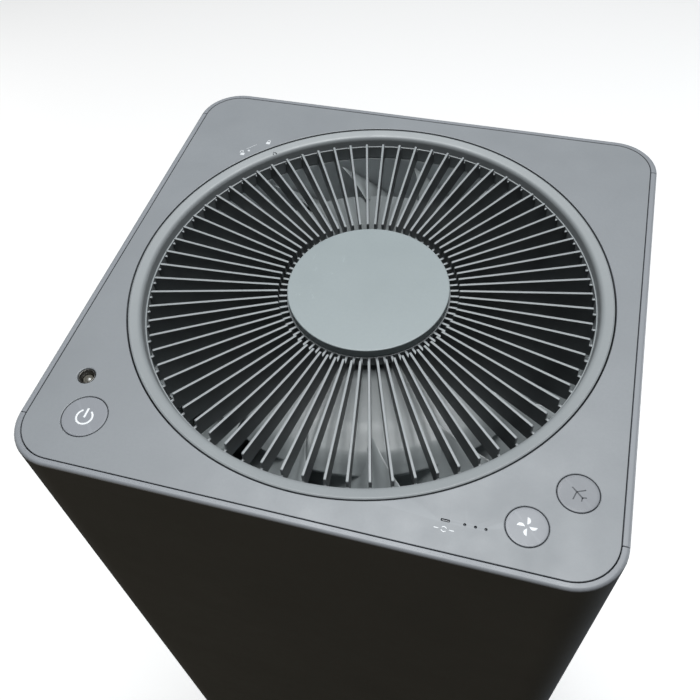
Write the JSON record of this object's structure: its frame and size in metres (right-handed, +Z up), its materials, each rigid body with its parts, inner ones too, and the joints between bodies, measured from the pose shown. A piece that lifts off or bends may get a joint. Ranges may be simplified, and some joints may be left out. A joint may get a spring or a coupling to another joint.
{
  "type": "air purifier",
  "caption": "Square tower air purifier with a round finned outlet grille in the top, three flush buttons and intake slots low on every side.",
  "frame": {"origin": "middle of the footprint at floor level", "axes": "+Z up, front with the buttons towards -Y, +X to the right of someone facing the front"},
  "size_m": [0.25, 0.25, 0.7],
  "materials": {
    "housing": "satin grey moulded plastic",
    "grille_plastic": "satin light grey moulded plastic",
    "button_plastic": "satin grey moulded plastic",
    "fan_plastic": "smooth light grey moulded plastic",
    "frame_plastic": "grey moulded plastic",
    "dark_plastic": "fine textured dark plastic",
    "rubber": "soft matt rubber",
    "steel": "bright zinc plated steel",
    "board": "solder mask green",
    "lens": "dark clear lens",
    "light_guide": "frosted clear plastic",
    "media": "pleated fibre paper",
    "filter_rim": "matt blue grey plastic",
    "tab_plastic": "flexible moulded tab"
  },
  "bodies": {
    "housing": {"front_cover": "housing", "rear_cover": "housing", "left_side_panel": "housing", "right_side_panel": "housing", "top_panel": "housing", "sensor_vent_cover": "dark_plastic", "base_tray": "dark_plastic", "foot_front_left": "rubber", "foot_front_right": "rubber", "foot_rear_left": "rubber", "foot_rear_right": "rubber", "base_screw_front_left": "steel", "base_screw_front_right": "steel", "base_screw_rear_left": "steel", "base_screw_rear_right": "steel", "lower_deck": "frame_plastic", "filter_deck": "frame_plastic", "fan_deck": "frame_plastic", "upper_deck": "frame_plastic", "corner_post_front_left": "frame_plastic", "corner_post_front_right": "frame_plastic", "corner_post_rear_left": "frame_plastic", "corner_post_rear_right": "frame_plastic", "power_inlet": "dark_plastic", "power_board": "board", "main_board": "board", "dust_sensor": "dark_plastic", "intake_duct": "frame_plastic", "fan_duct": "fan_plastic", "fan_motor": "dark_plastic", "motor_mount": "frame_plastic", "power_switch": "dark_plastic", "fan_speed_switch": "dark_plastic", "turbo_switch": "dark_plastic", "button_board": "board", "mode_board": "board", "indicator_light_guide": "light_guide", "light_sensor_bezel": "steel", "light_sensor_lens": "lens"},
    "grille": {"outlet_grille": "grille_plastic", "grille_cap": "grille_plastic"},
    "fan": {"fan_rotor": "fan_plastic", "fan_shaft": "steel"},
    "power_button": {"power_button": "button_plastic"},
    "fan_speed_button": {"fan_speed_button": "button_plastic"},
    "turbo_button": {"turbo_button": "button_plastic"},
    "filter_door": {"filter_door": "housing"},
    "door_latch": {"door_latch": "button_plastic"},
    "filter": {"filter_media": "media", "filter_top_ring": "filter_rim", "filter_bottom_cap": "filter_rim", "filter_pull_tab": "tab_plastic"}
  },
  "joints": [
    {"name": "grille_twist", "type": "hinge", "parent": "housing", "child": "grille", "pos_m": [0, 0, 0.69], "axis": [0, 0, 1], "range_deg": [0, 7.5]},
    {"name": "fan_spin", "type": "hinge", "parent": "housing", "child": "fan", "pos_m": [0, 0, 0.65], "axis": [0, 0, 1], "continuous": true},
    {"name": "power_press", "type": "slide", "parent": "housing", "child": "power_button", "axis": [0, 0, 1], "range_m": [-0.0008, 0], "stiffness_N_per_m": 400, "springref_m": 0.0006},
    {"name": "fan_speed_press", "type": "slide", "parent": "housing", "child": "fan_speed_button", "axis": [0, 0, 1], "range_m": [-0.0008, 0], "stiffness_N_per_m": 400, "springref_m": 0.0006},
    {"name": "turbo_press", "type": "slide", "parent": "housing", "child": "turbo_button", "axis": [0, 0, 1], "range_m": [-0.0008, 0], "stiffness_N_per_m": 400, "springref_m": 0.0006},
    {"name": "door_pull", "type": "slide", "parent": "housing", "child": "filter_door", "axis": [0, 1, 0], "range_m": [0, 0.26]},
    {"name": "latch_press", "type": "slide", "parent": "filter_door", "child": "door_latch", "axis": [0, 0, -1], "range_m": [0, 0.003], "stiffness_N_per_m": 400, "springref_m": -0.001},
    {"name": "filter_slide", "type": "slide", "parent": "housing", "child": "filter", "axis": [0, 1, 0], "range_m": [0, 0.234]}
  ],
  "couplings": [
    {"joint": "filter_slide", "follows": "door_pull", "ratio": 0.9}
  ]
}
